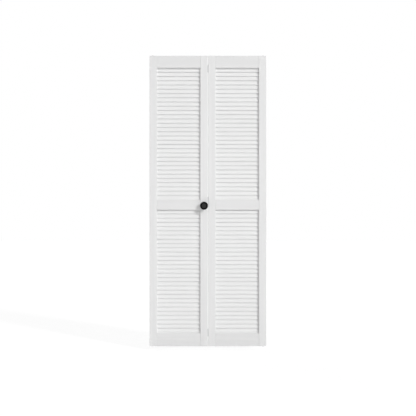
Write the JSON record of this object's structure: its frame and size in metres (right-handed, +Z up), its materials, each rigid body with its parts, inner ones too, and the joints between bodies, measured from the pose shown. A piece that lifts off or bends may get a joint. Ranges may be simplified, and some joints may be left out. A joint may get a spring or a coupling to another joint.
{
  "type": "bifold closet door",
  "caption": "White louvred bifold closet door: hinged pair of slatted panels with mid rails, black round knob, pin pivots and a track guide.",
  "frame": {"origin": "on the bottom pivot's axis, level with the door's underside", "axes": "+Z up, +X to the right seen from the room, +Y into the closet; the front faces -Y"},
  "size_m": [0.803, 0.0818, 2.0078],
  "materials": {
    "white_paint": "satin white paint",
    "hinge_steel": "satin zinc plate",
    "knob_black": "satin black",
    "nylon": "natural white nylon",
    "pin_steel": "bright zinc plate"
  },
  "bodies": {
    "pivot_panel": {"pivot_outer_stile": "white_paint", "pivot_inner_stile": "white_paint", "pivot_top_rail": "white_paint", "pivot_mid_rail": "white_paint", "pivot_bottom_rail": "white_paint", "pivot_upper_slats": "white_paint", "pivot_lower_slats": "white_paint", "pivot_top_leaf": "hinge_steel", "pivot_mid_leaf": "hinge_steel", "pivot_low_leaf": "hinge_steel", "top_hinge_pin": "hinge_steel", "mid_hinge_pin": "hinge_steel", "low_hinge_pin": "hinge_steel", "top_pivot_socket": "nylon", "top_pivot_spring": "pin_steel", "bottom_pivot_socket": "nylon"},
    "lead_panel": {"lead_outer_stile": "white_paint", "lead_inner_stile": "white_paint", "lead_top_rail": "white_paint", "lead_mid_rail": "white_paint", "lead_bottom_rail": "white_paint", "lead_upper_slats": "white_paint", "lead_lower_slats": "white_paint", "lead_top_leaf": "hinge_steel", "lead_mid_leaf": "hinge_steel", "lead_low_leaf": "hinge_steel", "guide_socket": "nylon", "guide_spring": "pin_steel", "knob": "knob_black", "knob_screw": "pin_steel"},
    "top_pivot": {"top_pivot_pin": "pin_steel"},
    "bottom_pivot": {"bottom_pivot_screw": "pin_steel"},
    "guide_plunger": {"guide_pin": "pin_steel"},
    "guide_wheel": {"guide_roller": "nylon"}
  },
  "joints": [
    {"name": "fold", "type": "hinge", "parent": "pivot_panel", "child": "lead_panel", "pos_m": [-0.3795, 0.0211, 0], "axis": [0, 0, -1], "range_deg": [0, 178]},
    {"name": "top_pivot_rise", "type": "slide", "parent": "pivot_panel", "child": "top_pivot", "axis": [0, 0, 1], "range_m": [0, 0.016], "deforming": ["top_pivot_spring"]},
    {"name": "bottom_pivot_drop", "type": "slide", "parent": "pivot_panel", "child": "bottom_pivot", "axis": [0, 0, -1], "range_m": [0, 0.02]},
    {"name": "guide_rise", "type": "slide", "parent": "lead_panel", "child": "guide_plunger", "axis": [0, 0, 1], "range_m": [0, 0.016], "deforming": ["guide_spring"]},
    {"name": "roller_spin", "type": "hinge", "parent": "guide_plunger", "child": "guide_wheel", "pos_m": [-0.759, 0, 1.997], "axis": [0, 0, 1], "continuous": true}
  ]
}
